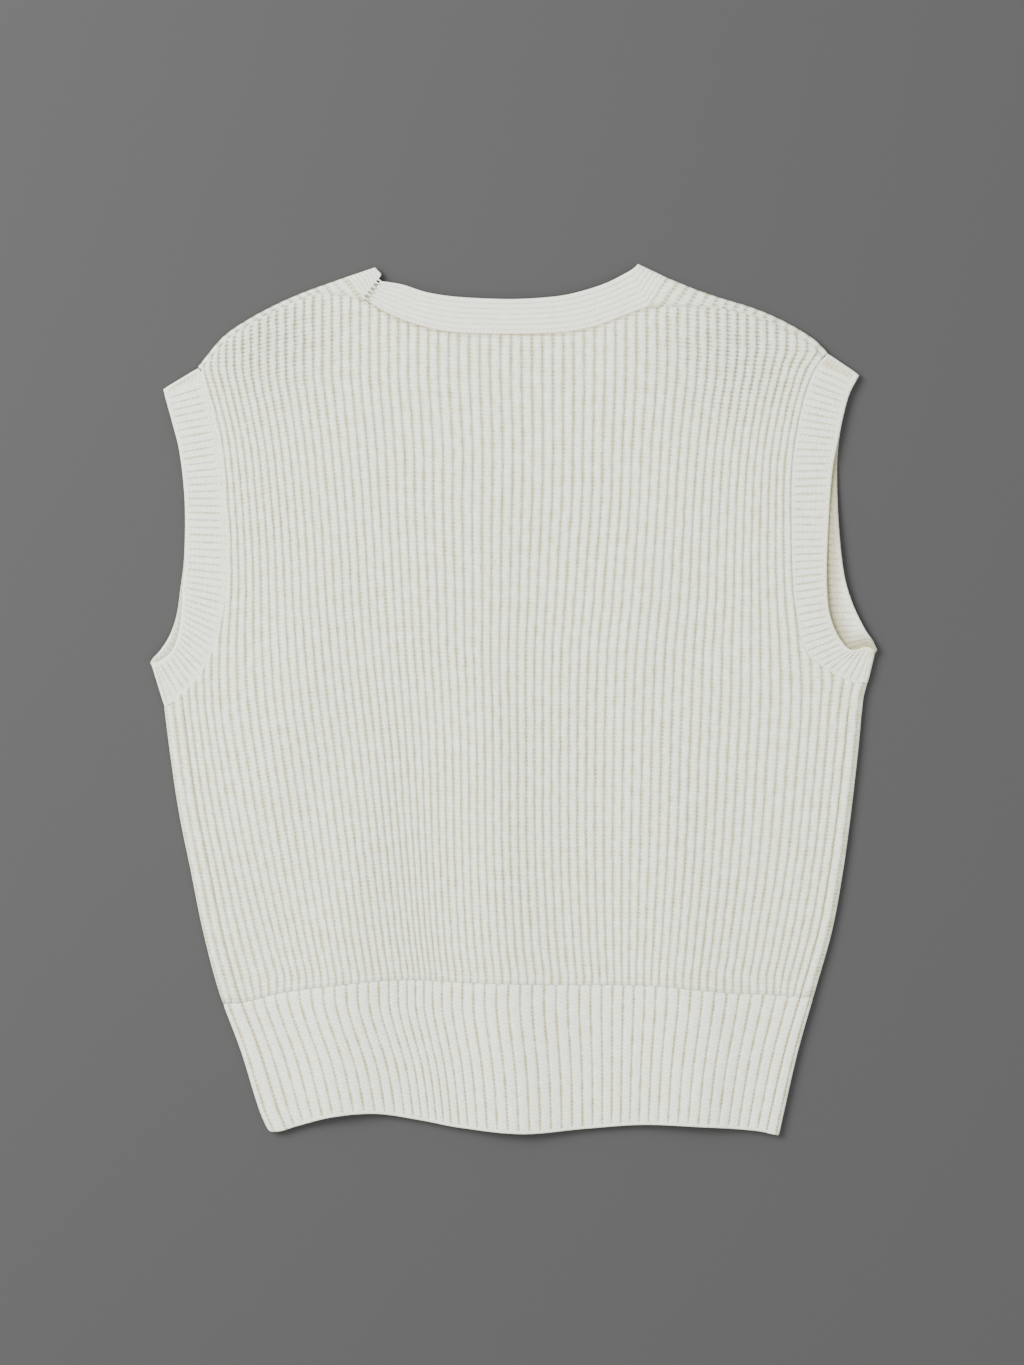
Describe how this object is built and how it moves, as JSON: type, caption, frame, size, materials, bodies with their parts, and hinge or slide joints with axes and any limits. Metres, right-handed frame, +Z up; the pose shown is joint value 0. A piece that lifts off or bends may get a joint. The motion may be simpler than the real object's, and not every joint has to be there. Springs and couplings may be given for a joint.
{
  "type": "sweater vest",
  "caption": "Sleeveless rib-knit pullover vest laid flat on its front, with ribbed hem, armhole and neck bands.",
  "frame": {"origin": "on the resting surface, under the middle of the garment's bounding box", "axes": "+Y from the hem to the neck, +X to the right in a view from above, +Z up through the thickness of the flat garment"},
  "size_m": [0.4991, 0.5999, 0.0092],
  "materials": {
    "body_knit": "soft ivory wool, half-cardigan rib",
    "band_knit": "soft ivory wool, close rib"
  },
  "bodies": {
    "root": {"back_panel": "body_knit", "front_panel": "body_knit", "back_hem": "body_knit", "front_hem": "body_knit", "neck_band": "band_knit", "armhole_band_left": "band_knit", "armhole_band_right": "band_knit"}
  },
  "joints": []
}
